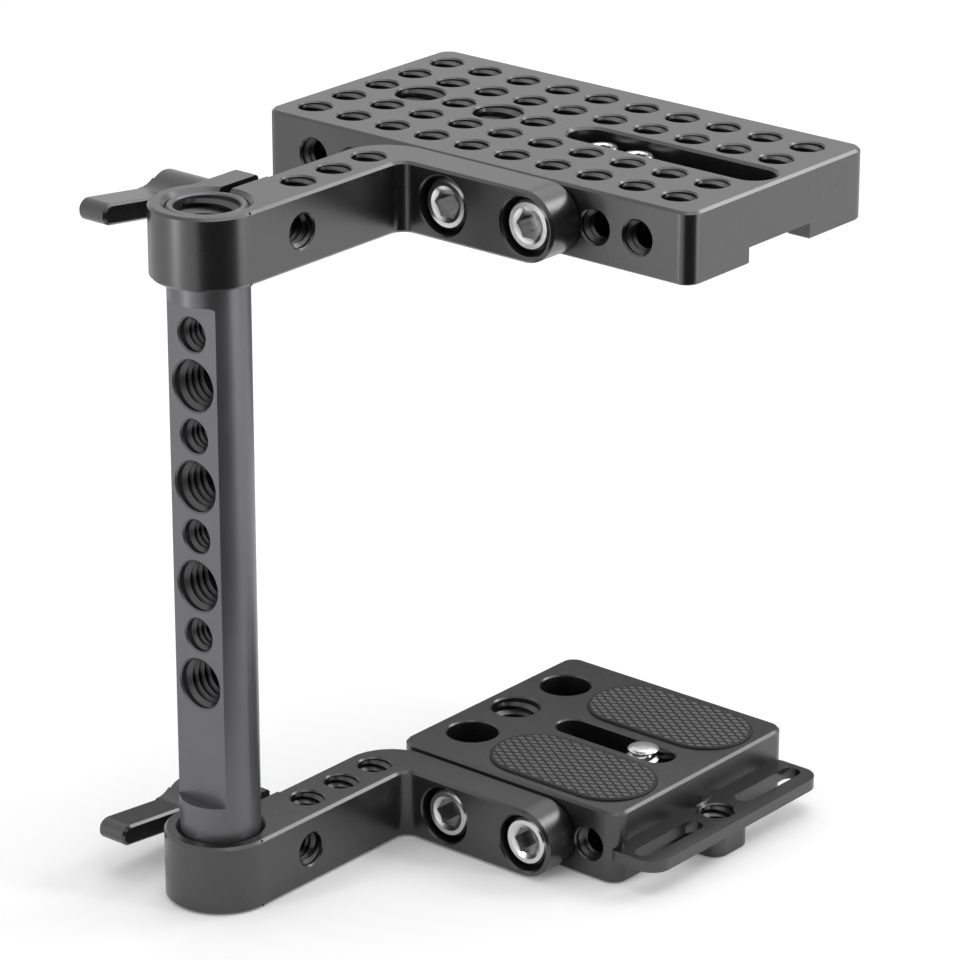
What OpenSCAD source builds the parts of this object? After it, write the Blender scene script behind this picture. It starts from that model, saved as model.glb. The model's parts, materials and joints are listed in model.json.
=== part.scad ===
// Camera cage: a perforated top plate and a lower base plate, each carried by a split clamp arm
// on one upright round rod. The origin is the centre of the rod's lower end. +Z runs up the rod,
// +X runs along the plates and +Y runs from the rod towards the plates.

/* [Rod] */
// Diameter of the upright rod
rod_d = 15; // [13:0.1:17]
// Length of the rod
rod_len = 133.8; // [110:0.1:200]
// Distance from the rod's axis to its machined flat
flat_offset = 4.7; // [4.2:0.1:5.5]
// Height of the lower end of the flat
flat_low = 20.1; // [16:0.1:34]
// Distance from the rod's top end to the top of the flat
flat_top_gap = 17; // [15:0.1:20]
// Corner radius at the top of the flat
flat_corner_r = 1.3; // [0.5:0.1:2]
// Distance from the rod's top end to its highest cross hole
rod_hole_top_gap = 23.2; // [22:0.1:30]
// Spacing of the rod's cross holes
rod_hole_pitch = 9.6; // [9:0.1:12]
// Depth of the rod's cross holes from the flat
rod_hole_depth = 9; // [6:0.1:10]
// Thread diameter of the sockets in the rod's ends
rod_socket_d = 12; // [8:0.1:12]
// Depth of the sockets in the rod's ends
rod_socket_depth = 15; // [8:0.5:17]

/* [Threads] */
// Major diameter of the small mounting thread
small_thread_d = 6.35; // [6:0.01:6.5]
// Major diameter of the large mounting thread
large_thread_d = 9.525; // [8:0.005:9.6]
// Spacing of the mounting hole grid
grid_pitch = 9.525; // [9.4:0.005:10.5]
// Width of the bevel at the mouth of a hole
mouth_bevel = 0.3; // [0.1:0.05:0.4]

/* [Clamp arms] */
// Height of each clamp arm
arm_h = 13.5; // [12:0.1:16]
// Wall of the ring round the rod
ring_wall = 2.95; // [2.5:0.05:4]
// Width of the leg that runs from the ring
leg_w = 12; // [10:0.1:14]
// Width of the slit that the clamp closes
slit_w = 2; // [1:0.1:2.5]
// Thickness of the clamp ear
ear_w = 5.45; // [4:0.05:7]
// Wall between the rod bore and the clamp screw
clamp_wall = 2.5; // [2.3:0.1:4]
// Length of the ear beyond the clamp screw's axis
ear_lap = 4; // [3.8:0.1:6]
// Distance from the rod's axis to the plates' front faces
arm_reach = 48.1; // [46:0.1:60]
// Thickness of the cross leg that is bolted to a plate
cross_t = 8; // [7.5:0.1:12]
// Distance from the rod's axis to the first plate screw
plate_screw_x = 20.05; // [19:0.05:22]
// Distance from the plates' front faces back to the nearest hole of the leg
leg_hole_gap = 10.1; // [9:0.1:12]
// Number of mounting holes along the leg
leg_hole_count = 3; // [1:1:3]
// Outer corner radius of the arm
outer_corner_r = 10; // [4:0.1:11]
// Inner corner radius of the arm
inner_corner_r = 2.4; // [1:0.1:3.5]
// Width of the bevel along the arm's edges
arm_bevel = 0.5; // [0.2:0.05:0.6]
// Width of the bevel at the rod bore's mouths
bore_bevel = 0.8; // [0.3:0.1:1]

/* [Plate screws] */
// Diameter of the plate screws' heads
screw_head_d = 9.5; // [8.5:0.1:10]
// Height of the plate screws' heads
screw_head_h = 4.4; // [3.5:0.1:4.5]
// Depth of the heads below the arm's face
screw_head_sink = 1; // [0.5:0.1:1.5]
// Size across flats of the screws' hex sockets
screw_socket_af = 5; // [4:0.1:5.5]
// Radial gap round a screw head in its counterbore
head_gap = 0.8; // [0.3:0.05:1]
// Depth of the tapped holes in the plates' front faces
side_hole_depth = 9.5; // [8:0.1:10]

/* [Top plate] */
// Length of the top plate
top_w = 100; // [96:0.1:104]
// Depth of the top plate
top_l = 52.6; // [50:0.1:60]
// How far the top plate reaches past the rod's axis
top_back = 30; // [28:0.1:33]
// Corner radius of the plates
plate_corner_r = 3; // [1.5:0.1:4]
// Width of the bevel along the plates' upper edges
plate_bevel = 0.5; // [0.2:0.05:0.8]
// Width of the bevel along the plates' lower edges
lower_bevel = 0.3; // [0.1:0.05:0.5]
// Distance from the plate's end to its first column of holes
grid_margin = 6.1; // [5.5:0.1:7]
// Number of rows of holes across the plate
grid_rows = 5; // [3:2:5]
// Distance from the plate's end to the left end of its slot
top_slot_start = 52.3; // [51:0.1:54]
// Length of the top plate's slot
top_slot_len = 45.8; // [40:0.1:46]
// Width of the top plate's slot
top_slot_w = 8.4; // [7:0.1:8.6]
// Depth of the slot's wide upper part
top_slot_depth = 5.1; // [4.5:0.1:6]
// Width of the channel under the top plate
channel_w = 18.2; // [17:0.1:20]
// Depth of the channel under the top plate
channel_depth = 3.1; // [2:0.1:4]

/* [Shoe block] */
// Length of the shoe block along the channel
block_len = 20; // [18:0.5:24]
// Centre of the block from the rod's axis
block_x = 33.5; // [32:0.5:40]
// Spacing of the block's two screws
block_screw_gap = 8.2; // [7:0.1:9]
// Diameter of the block screws' heads
block_head_d = 6; // [5:0.1:6.4]
// Height of the block screws' heads
block_head_h = 3.2; // [2.5:0.1:3.5]
// Thread diameter of the block screws
block_thread_d = 3; // [2.5:0.1:3.5]
// Width of the camera shoe foot
foot_w = 18.5; // [18:0.1:18.6]
// Thickness of the camera shoe foot
foot_t = 1.9; // [1.8:0.05:2]
// Height of the neck between the plate and the foot
neck_h = 2.1; // [2:0.1:3]
// Width of the neck between the plate and the foot
neck_w = 12.3; // [11:0.1:12.5]

/* [Base plate] */
// Length of the base plate
base_w = 53.1; // [52:0.1:56]
// Depth of the base plate
base_l = 52.6; // [52:0.1:56]
// Height of the base plate
base_h = 14.4; // [13.5:0.1:17]
// Distance from the rod's axis to the base plate's left end
base_start = 2.2; // [0:0.1:4]
// Diameter of the two plain holes
plain_hole_d = 10; // [8:0.1:11]
// Distance from the plate's left end to the plain holes
plain_hole_x = 8.15; // [8:0.05:9]
// Distance from the plate's middle line to each plain hole
plain_hole_y = 14.3; // [13:0.1:16]
// Distance from the plate's left end to the large tapped hole
large_hole_x = 7.2; // [6.5:0.1:7.5]
// Distance from the plate's left end to the camera screw's slot
base_slot_x = 18.2; // [17.8:0.1:19]
// Length of the camera screw's slot
base_slot_len = 27.4; // [24:0.1:28]
// Width of the camera screw's slot
base_slot_w = 6.6; // [6.5:0.05:7]
// Height of the recess under the slot
recess_h = 7.8; // [7.2:0.1:8.5]
// Width of the recess under the slot
recess_w = 13; // [12.6:0.1:15]
// Thickness of the narrow web in the slot
web_t = 2; // [1.5:0.1:2.5]

/* [Base flange] */
// Width of the flange beside the base plate
flange_w = 9.1; // [8.5:0.1:11]
// Height of the flange's underside
flange_low = 4.75; // [3.5:0.05:5.5]
// Thickness of the flange
flange_t = 2.3; // [2:0.1:3.5]
// Corner radius of the flange
flange_corner_r = 4; // [2:0.1:4.5]
// How far the flange's ends stand back from the plate's long faces
flange_inset = 0.2; // [0.1:0.05:0.5]
// Width of the flange's strap slots
strap_slot_w = 3.8; // [3:0.1:4.2]
// Distance from the plate's end to the middle of the strap slots
strap_slot_x = 3.9; // [3.6:0.05:4.2]
// Distance from the plate's long faces to the strap slots
strap_slot_gap = 1.6; // [1.5:0.1:3]
// Distance from the flange's middle line to the strap slots
strap_mid_gap = 6.3; // [6:0.1:8]
// Distance from the plate's end to the flange's middle hole
flange_hole_x = 3.5; // [3.4:0.1:4]
// Width of the boss under the flange's middle hole
boss_w = 10.8; // [9.5:0.1:12]
// How far the boss reaches from the plate's end
boss_reach = 7.7; // [7.5:0.1:8.3]

/* [Grip pads] */
// Length of a grip pad
pad_len = 35.6; // [34:0.1:36]
// Distance from the plate's left end to the pads
pad_x = 15.7; // [15.4:0.1:16]
// Distance from the plate's long edge to the nearer side of a pad
pad_margin = 2.2; // [2:0.1:3]
// Distance from the camera screw's slot to the nearer side of a pad
pad_slot_gap = 2.4; // [2:0.1:4]
// Thickness of a grip pad
pad_t = 1.5; // [1:0.1:2]
// How far a pad stands above the plate
pad_proud = 0.4; // [0.1:0.1:0.6]

/* [Camera screw] */
// Diameter of the camera screw's thread
camera_thread_d = 6.24; // [6:0.01:6.3]
// Distance from the slot's left end to the camera screw
camera_screw_x = 20.5; // [16:0.1:21]
// How far the lowered screw stands above the plate
camera_screw_rise = 0.9; // [0.5:0.1:1.5]
// Diameter of the screw's neck
camera_neck_d = 4.6; // [4:0.1:4.8]
// Diameter of the screw's head
camera_head_d = 12; // [10:0.1:12.2]
// Thickness of the screw's head
camera_head_t = 2.5; // [2:0.1:2.8]
// Clearance under the lowered screw's head
camera_head_gap = 0.3; // [0.2:0.1:0.6]
// Thickness of the washer under the recess's roof
camera_washer_t = 0.8; // [0.5:0.1:1]

/* [Clamp levers] */
// Radius of the lever's hub
hub_r = 4.8; // [4.5:0.1:5.5]
// Length of the lever's hub
hub_len = 13.6; // [12:0.1:15]
// Width of the lever's bar
bar_w = 6.6; // [5:0.1:7.5]
// Thickness of the lever's bar
bar_t = 4; // [3:0.1:5]
// Reach of the bar from the clamp screw's axis
bar_reach = 22.3; // [18:0.1:26]
// Radius of the hollow between bar and hub
bar_blend_r = 5; // [3:0.1:6]
// Width of the bevel along the lever's edges
lever_bevel = 0.45; // [0.2:0.05:0.6]
// Thickness of the washer between ear and lever
clamp_washer_t = 0.5; // [0.3:0.1:1]
// Upward tilt of the upper lever in degrees
upper_tilt = 7; // [0:0.5:20]
// Upward tilt of the lower lever in degrees
lower_tilt = 5.5; // [0:0.5:20]

/* [Fits] */
// Radial clearance between the rod and its clamps
rod_fit = 0.05; // [0.02:0.01:0.1]
// Radial clearance of a thread in its tapped hole
thread_fit = 0.04; // [0.02:0.01:0.1]
// Radial clearance of a plain shank in its hole
shank_fit = 0.2; // [0.1:0.05:0.3]
// Gap on each side of a sliding piece
slide_gap = 0.05; // [0.02:0.01:0.1]

/* [Hidden] */
$fn = 72;

// Overrun of every cut past the face that it opens
over = 1;

// Arm, all measured from the rod's axis
bore_r = rod_d/2 + rod_fit;
ring_r = bore_r + ring_wall;
leg_x = ring_r - leg_w;
leg_mid = leg_x + leg_w/2;
ear_x = leg_x - slit_w - ear_w;
clamp_y = bore_r + clamp_wall + small_thread_d/2;
ear_end = clamp_y + ear_lap;
cross_y = arm_reach - cross_t;
screw_spread = 2*grid_pitch;
far_screw_x = plate_screw_x + screw_spread;

// The rod's top end stands just below the upper arm's top face
rod_recess = 0.5;
upper_z = rod_len + rod_recess - arm_h;
top_z = upper_z + arm_h;
rod_bevel = 0.5;
flat_high = rod_len - flat_top_gap;
rod_hole_high = rod_len - rod_hole_top_gap;
rod_hole_count = floor((rod_hole_high - flat_low - large_thread_d/2 - rod_hole_pitch)/rod_hole_pitch);

// Plates
top_x = -top_back;
grid_x = top_x + grid_margin;
grid_columns = floor((top_w - 2*grid_margin)/grid_pitch) + 1;
grid_mid_y = arm_reach + top_l/2;
side_hole_margin = 6;
base_end = base_start + base_w;
arm_end_x = far_screw_x - arm_bevel/2;
base_mid_y = arm_reach + base_l/2;
slot_start = top_x + top_slot_start;
slot_end = slot_start + top_slot_len;
channel_start = slot_start - slide_gap - 3*grid_pitch/4;
slot_floor_w = block_thread_d + 2*shank_fit;
base_slot_start = base_start + base_slot_x;
camera_x = base_slot_start + camera_screw_x;
web_z = recess_h + web_t;
neck_slot_w = camera_neck_d + 2*shank_fit;
pad_w = base_l/2 - base_slot_w/2 - pad_slot_gap - pad_margin;
strap_slot_len = base_l/2 - strap_slot_gap - strap_mid_gap;

// Where threads end, so that no screw stands in the way of the nearest hole of a row
stud_reach = leg_mid - small_thread_d/4;
row_wall = top_l/2 - 2*grid_pitch - small_thread_d/2;
lever_socket = 9.6;
tip_bevel = 0.7;

// Cutting shapes

// Square bar standing on its edge, for a bevel along a straight edge towards +X
module edge_bar(length, bevel) {
  side = bevel*sqrt(2);
  rotate([45, 0, 0])
    translate([0, -side/2, -side/2])
      cube([length, side, side]);
}

// The same bar bent round a circle, for a bevel along part of a round edge
module edge_ring(r, bevel, from = 0, sweep = 360) {
  rotate([0, 0, from])
    rotate_extrude(angle = sweep)
      translate([r, 0])
        rotate(45)
          square(bevel*sqrt(2), center = true);
}

// Bevel round the outline of a plate with rounded corners
module edge_frame(w, l, r, bevel) {
  for (y = [0, l]) translate([r, y, 0]) edge_bar(w - 2*r, bevel);
  for (x = [0, w]) translate([x, r, 0]) rotate([0, 0, 90]) edge_bar(l - 2*r, bevel);
  translate([r, r, 0]) edge_ring(r, bevel, 180, 90);
  translate([w - r, r, 0]) edge_ring(r, bevel, 270, 90);
  translate([w - r, l - r, 0]) edge_ring(r, bevel, 0, 90);
  translate([r, l - r, 0]) edge_ring(r, bevel, 90, 90);
}

// Bevelled mouth of a slot whose left round end is centred on the origin, opening upwards
module slot_mouth(run, r, bevel) {
  reach = bevel + over;
  for (x = [0, run]) translate([x, 0, -bevel]) cylinder(r1 = r, r2 = r + reach, h = reach);
  translate([0, 0, -bevel])
    rotate([90, 0, 90])
      linear_extrude(run)
        polygon([[-r, 0], [r, 0], [r + reach, reach], [-r - reach, reach]]);
}

// Hole that opens at the origin and goes down, with a bevelled mouth
module blind_hole(d, depth) {
  translate([0, 0, -depth]) cylinder(d = d, h = depth + over);
  translate([0, 0, -mouth_bevel])
    cylinder(d1 = d, d2 = d + 2*(mouth_bevel + over), h = mouth_bevel + over);
}

// Hole right through a thickness, with a bevel at both mouths
module through_hole(d, thickness) {
  blind_hole(d, thickness + over);
  translate([0, 0, -thickness]) mirror([0, 0, 1]) blind_hole(d, mouth_bevel);
}

// Outlines

module rounded_rect(w, l, r) {
  translate([r, 0]) square([w - 2*r, l]);
  translate([0, r]) square([w, l - 2*r]);
  for (x = [r, w - r], y = [r, l - r]) translate([x, y]) circle(r);
}

// Slot outline whose left round end is centred on the origin
module slot_outline(run, r) {
  translate([0, -r]) square([run, 2*r]);
  circle(r);
  translate([run, 0]) circle(r);
}

module slot_cut(run, r, height) {
  linear_extrude(height) slot_outline(run, r);
}

// Clamp arm, seen from above, with its bore and slit
module arm_outline() {
  difference() {
    union() {
      circle(ring_r);
      translate([ear_x, 0]) square([ear_w + slit_w, ear_end]);
      translate([leg_x, 0]) square([leg_w, arm_reach]);
      translate([leg_x, cross_y]) square([arm_end_x + arm_h/2 - leg_x, cross_t]);
      translate([ring_r, cross_y - inner_corner_r])
        difference() {
          square(inner_corner_r);
          translate([inner_corner_r, 0]) circle(inner_corner_r);
        }
    }
    circle(bore_r);
    translate([leg_x - slit_w, 0]) square([slit_w, ear_end + over]);
    translate([leg_x, arm_reach - outer_corner_r])
      difference() {
        translate([-over, 0]) square([outer_corner_r + over, outer_corner_r + over]);
        translate([outer_corner_r, 0]) circle(outer_corner_r);
      }
  }
}

// What is cut away round the cross leg's far end, which is a bevelled half disc seen from the front
module arm_end_cut() {
  difference() {
    translate([0, -over, -arm_h/2 - over]) cube([arm_h, cross_t + 2*over, arm_h + 2*over]);
    rotate([-90, 0, 0])
      rotate_extrude()
        polygon([
          [0, 0],
          [arm_h/2 - arm_bevel, 0],
          [arm_h/2, arm_bevel],
          [arm_h/2, cross_t - arm_bevel],
          [arm_h/2 - arm_bevel, cross_t],
          [0, cross_t]
        ]);
  }
}

// Bevels along the outline of the arm's lower or upper face
module arm_edges() {
  ear_angle = acos(-ear_x/ring_r);
  ring_meets_ear = sqrt(ring_r*ring_r - ear_x*ear_x);
  edge_ring(ring_r, arm_bevel, 180 - ear_angle, 180 + ear_angle);
  translate([ear_x, ring_meets_ear, 0])
    rotate([0, 0, 90]) edge_bar(ear_end - ring_meets_ear + arm_bevel, arm_bevel);
  translate([ear_x - arm_bevel, ear_end, 0]) edge_bar(ear_w + arm_bevel, arm_bevel);
  translate([leg_x, ear_end, 0])
    rotate([0, 0, 90]) edge_bar(arm_reach - outer_corner_r - ear_end, arm_bevel);
  translate([leg_x + outer_corner_r, arm_reach - outer_corner_r, 0])
    edge_ring(outer_corner_r, arm_bevel, 90, 90);
  translate([leg_x + outer_corner_r, arm_reach, 0])
    edge_bar(arm_end_x - leg_x - outer_corner_r, arm_bevel);
  translate([ring_r, 0, 0])
    rotate([0, 0, 90]) edge_bar(cross_y - inner_corner_r, arm_bevel);
  translate([ring_r + inner_corner_r, cross_y - inner_corner_r, 0])
    edge_ring(inner_corner_r, arm_bevel, 90, 90);
  translate([ring_r + inner_corner_r, cross_y, 0])
    edge_bar(arm_end_x - ring_r - inner_corner_r, arm_bevel);
}

// One clamp arm with its lower face on the floor plane
module clamp_arm() {
  cbore_d = screw_head_d + 2*head_gap;
  cbore_depth = screw_head_h + screw_head_sink;
  difference() {
    linear_extrude(arm_h) arm_outline();
    for (z = [0, arm_h]) translate([0, 0, z]) {
      edge_ring(bore_r, bore_bevel);
      arm_edges();
    }
    translate([arm_end_x, cross_y, arm_h/2]) arm_end_cut();
    for (k = [0:leg_hole_count - 1])
      translate([leg_mid, arm_reach - leg_hole_gap - k*grid_pitch, arm_h])
        through_hole(small_thread_d, arm_h);
    translate([ring_r, clamp_y, arm_h/2])
      rotate([0, 90, 0]) blind_hole(small_thread_d, leg_w + slit_w/2);
    translate([ear_x - over, clamp_y, arm_h/2])
      rotate([0, 90, 0]) cylinder(d = small_thread_d + 2*shank_fit, h = ear_w + slit_w/2 + over);
    for (x = [plate_screw_x, far_screw_x]) translate([x, cross_y, arm_h/2])
      rotate([90, 0, 0]) {
        blind_hole(cbore_d, cbore_depth);
        translate([0, 0, -cross_t - over])
          cylinder(d = small_thread_d + 2*shank_fit, h = cross_t + over);
      }
  }
}

module lower_arm() {
  color("dimgray") clamp_arm();
}

module upper_arm() {
  color("dimgray") translate([0, 0, upper_z]) clamp_arm();
}

// Cap screw that points along -Z, with the top of its head at the origin
module cap_screw(head_d, head_h, thread_d, thread_len, socket_af) {
  head_bevel = head_d/20;
  socket_depth = 2*head_h/3;
  difference() {
    union() {
      translate([0, 0, -head_h]) cylinder(d = head_d, h = head_h);
      translate([0, 0, -head_h - thread_len]) cylinder(d = thread_d, h = thread_len + head_h/2);
    }
    edge_ring(head_d/2, head_bevel);
    translate([0, 0, -head_h - thread_len]) edge_ring(thread_d/2, thread_d/10);
    translate([0, 0, -socket_depth])
      cylinder(d = socket_af/cos(30), h = socket_depth + over, $fn = 6);
    translate([0, 0, -head_bevel])
      cylinder(d1 = socket_af, d2 = socket_af + 4*(head_bevel + over), h = head_bevel + over);
  }
}

// Screw that holds a clamp arm to its plate
module plate_screw(x, z) {
  end_gap = mouth_bevel;
  thread_len = cross_t - screw_head_h - screw_head_sink + row_wall - end_gap;
  color("silver")
    translate([x, cross_y + screw_head_sink, z + arm_h/2])
      rotate([90, 0, 0])
        cap_screw(screw_head_d, screw_head_h, small_thread_d - 2*thread_fit, thread_len,
                  screw_socket_af);
}

module lower_arm_screw_inner() {
  plate_screw(plate_screw_x, 0);
}

module lower_arm_screw_outer() {
  plate_screw(far_screw_x, 0);
}

module upper_arm_screw_inner() {
  plate_screw(plate_screw_x, upper_z);
}

module upper_arm_screw_outer() {
  plate_screw(far_screw_x, upper_z);
}

// Clamp lever, stud and washer

// Side view of the lever: hub on the origin, bar towards -X, hollows between them
module lever_outline() {
  tip_r = bar_t/2;
  blend_y = tip_r + bar_blend_r;
  blend_x = sqrt(pow(hub_r + bar_blend_r, 2) - blend_y*blend_y);
  touch_share = hub_r/(hub_r + bar_blend_r);
  circle(hub_r);
  translate([-bar_reach + tip_r, -tip_r]) square([bar_reach - tip_r, bar_t]);
  translate([-bar_reach + tip_r, 0]) circle(tip_r);
  for (side = [0, 1]) mirror([0, side])
    difference() {
      polygon([
        [0, 0],
        [-blend_x, 0],
        [-blend_x, tip_r],
        [-blend_x*touch_share, blend_y*touch_share]
      ]);
      translate([-blend_x, blend_y]) circle(bar_blend_r);
    }
}

// Bevels along the straight edges and the round tip of one side of the bar
module bar_edges() {
  tip_r = bar_t/2;
  blend_y = tip_r + bar_blend_r;
  blend_x = sqrt(pow(hub_r + bar_blend_r, 2) - blend_y*blend_y);
  translate([-bar_reach + tip_r, 0, 0]) edge_ring(tip_r, lever_bevel, 90, 180);
  for (side = [0, 1]) mirror([0, side, 0])
    translate([-bar_reach + tip_r, tip_r, 0])
      edge_bar(bar_reach - tip_r - blend_x, lever_bevel);
}

// Bevel round the hub's outer end, which stops where the hollows of the bar run in
module hub_edge() {
  blend_y = bar_t/2 + bar_blend_r;
  hollow_angle = asin(blend_y/(hub_r + bar_blend_r));
  edge_ring(hub_r, lever_bevel, hollow_angle - 180, 360 - 2*hollow_angle);
}

module clamp_lever(z, tilt) {
  color("dimgray")
    translate([ear_x - clamp_washer_t - hub_len, clamp_y, z + arm_h/2])
      rotate([-tilt, 0, 0])
        rotate([90, 0, 90])
          difference() {
            union() {
              linear_extrude(bar_w) lever_outline();
              cylinder(r = hub_r, h = hub_len);
            }
            hub_edge();
            for (side = [0, bar_w]) translate([0, 0, side]) bar_edges();
            translate([0, 0, hub_len]) edge_ring(hub_r, lever_bevel);
            translate([0, 0, hub_len]) blind_hole(small_thread_d, lever_socket);
          }
}

module clamp_stud(z) {
  stud_d = small_thread_d - 2*thread_fit;
  stud_x = ear_x - clamp_washer_t - lever_socket + tip_bevel;
  stud_len = stud_reach - stud_x;
  color("silver")
    translate([stud_x, clamp_y, z + arm_h/2])
      rotate([0, 90, 0])
        difference() {
          cylinder(d = stud_d, h = stud_len);
          for (end = [0, stud_len]) translate([0, 0, end]) edge_ring(stud_d/2, tip_bevel);
        }
}

module clamp_washer(z) {
  color("silver")
    translate([ear_x - clamp_washer_t + slide_gap/2, clamp_y, z + arm_h/2])
      rotate([0, 90, 0])
        difference() {
          cylinder(r = hub_r, h = clamp_washer_t - slide_gap);
          translate([0, 0, -over])
            cylinder(d = small_thread_d + 2*shank_fit, h = clamp_washer_t + 2*over);
        }
}

module lower_clamp_lever() {
  clamp_lever(0, lower_tilt);
}

module lower_clamp_stud() {
  clamp_stud(0);
}

module lower_clamp_washer() {
  clamp_washer(0);
}

module upper_clamp_lever() {
  clamp_lever(upper_z, upper_tilt);
}

module upper_clamp_stud() {
  clamp_stud(upper_z);
}

module upper_clamp_washer() {
  clamp_washer(upper_z);
}

// Upright rod with a machined flat that carries alternating small and large tapped holes

module flat_cut() {
  half_w = sqrt(pow(rod_d/2, 2) - flat_offset*flat_offset);
  corner_x = half_w - 0.8*flat_corner_r;
  depth = rod_d/2 - flat_offset;
  translate([0, -flat_offset, 0])
    rotate([90, 0, 0])
      linear_extrude(depth + over) {
        translate([-rod_d/2, flat_low]) square([rod_d, flat_high - flat_low - flat_corner_r]);
        translate([-corner_x, flat_low]) square([2*corner_x, flat_high - flat_low]);
        for (x = [-corner_x, corner_x]) translate([x, flat_high - flat_corner_r])
          circle(flat_corner_r);
      }
}

module rod() {
  color("dimgray")
    difference() {
      cylinder(d = rod_d, h = rod_len);
      flat_cut();
      for (k = [0:rod_hole_count])
        translate([0, -flat_offset, rod_hole_high - k*rod_hole_pitch])
          rotate([90, 0, 0])
            blind_hole(k % 2 == 0 ? small_thread_d : large_thread_d, rod_hole_depth);
      translate([0, 0, rod_len]) {
        blind_hole(rod_socket_d, rod_socket_depth);
        edge_ring(rod_d/2, rod_bevel);
      }
      mirror([0, 0, 1]) {
        blind_hole(rod_socket_d, rod_socket_depth);
        edge_ring(rod_d/2, rod_bevel);
      }
    }
}

// Row of tapped holes in a plate's front face, in step with the arm's screws
module side_holes(from, to, z) {
  first = ceil((from + side_hole_margin - plate_screw_x)/grid_pitch);
  last = floor((to - side_hole_margin - plate_screw_x)/grid_pitch);
  for (k = [first:last]) translate([plate_screw_x + k*grid_pitch, arm_reach, z])
    rotate([90, 0, 0]) blind_hole(small_thread_d, side_hole_depth);
}

// Top plate

module top_plate() {
  mid_row = (grid_rows - 1)/2;
  slot_r = top_slot_w/2;
  floor_r = slot_floor_w/2;
  color("dimgray")
    difference() {
      translate([top_x, arm_reach, upper_z])
        linear_extrude(arm_h) rounded_rect(top_w, top_l, plate_corner_r);
      translate([top_x, arm_reach, top_z])
        edge_frame(top_w, top_l, plate_corner_r, plate_bevel);
      translate([top_x, arm_reach, upper_z])
        edge_frame(top_w, top_l, plate_corner_r, lower_bevel);
      for (row = [0:grid_rows - 1], column = [0:grid_columns - 1]) {
        x = grid_x + column*grid_pitch;
        large = row == mid_row && column % 2 == 1;
        hole_d = large ? large_thread_d : small_thread_d;
        if (row != mid_row || x + hole_d/2 < slot_start)
          translate([x, grid_mid_y + (row - mid_row)*grid_pitch, top_z])
            through_hole(hole_d, arm_h);
      }
      side_holes(top_x, top_x + top_w, upper_z + arm_h/2);
      translate([slot_start + slot_r, grid_mid_y, top_z - top_slot_depth])
        slot_cut(top_slot_len - top_slot_w, slot_r, top_slot_depth + over);
      translate([slot_start + slot_r, grid_mid_y, top_z])
        slot_mouth(top_slot_len - top_slot_w, slot_r, plate_bevel);
      translate([slot_start + slot_r, grid_mid_y, upper_z])
        slot_cut(top_slot_len - top_slot_w, floor_r, arm_h);
      translate([channel_start, grid_mid_y - channel_w/2, upper_z - over])
        cube([top_x + top_w - channel_start + over, channel_w, channel_depth + over]);
      for (y = [-channel_w/2, channel_w/2])
        translate([channel_start, grid_mid_y + y, upper_z])
          edge_bar(top_x + top_w - channel_start + over, lower_bevel);
    }
}

// Shoe block in the channel, held by two screws whose heads stand in the slot

module shoe_block() {
  key_w = channel_w - 4*slide_gap;
  key_h = channel_depth - 2*slide_gap;
  neck_len = block_len - (foot_w - neck_w)/3;
  foot_r = (foot_w - neck_w)/4;
  color("gray")
    translate([block_x, grid_mid_y, upper_z + slide_gap])
      difference() {
        union() {
          translate([-block_len/2, -key_w/2, 0]) cube([block_len, key_w, key_h]);
          translate([-neck_len/2, -neck_w/2, -neck_h]) cube([neck_len, neck_w, neck_h + key_h/2]);
          translate([-neck_len/2, -foot_w/2, -neck_h - foot_t])
            linear_extrude(foot_t) rounded_rect(neck_len, foot_w, foot_r);
        }
        for (x = [-1, 1]) translate([x*block_screw_gap/2, 0, key_h])
          blind_hole(block_thread_d, key_h + neck_h);
      }
}

module shoe_screw(x) {
  thread_len = arm_h - top_slot_depth;
  color("silver")
    translate([x, grid_mid_y, top_z - top_slot_depth + block_head_h + slide_gap])
      cap_screw(block_head_d, block_head_h, block_thread_d - 2*thread_fit, thread_len,
                block_head_d/2);
}

module shoe_screw_left() {
  shoe_screw(block_x - block_screw_gap/2);
}

module shoe_screw_right() {
  shoe_screw(block_x + block_screw_gap/2);
}

// Base plate with its strap flange

module strap_flange() {
  translate([-flange_corner_r, flange_inset, flange_low])
    linear_extrude(flange_t)
      rounded_rect(flange_w + flange_corner_r, base_l - 2*flange_inset, flange_corner_r);
  translate([-boss_w/2, base_l/2 - boss_w/2, 0])
    linear_extrude(flange_low + flange_t/2)
      rounded_rect(boss_reach + boss_w/2, boss_w, plate_corner_r);
}

module pad_pocket(y) {
  pad_r = pad_w/2;
  translate([base_start + pad_x + pad_r, y, base_h - pad_t + pad_proud])
    slot_cut(pad_len - pad_w, pad_r + slide_gap, pad_t + over);
}

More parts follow.
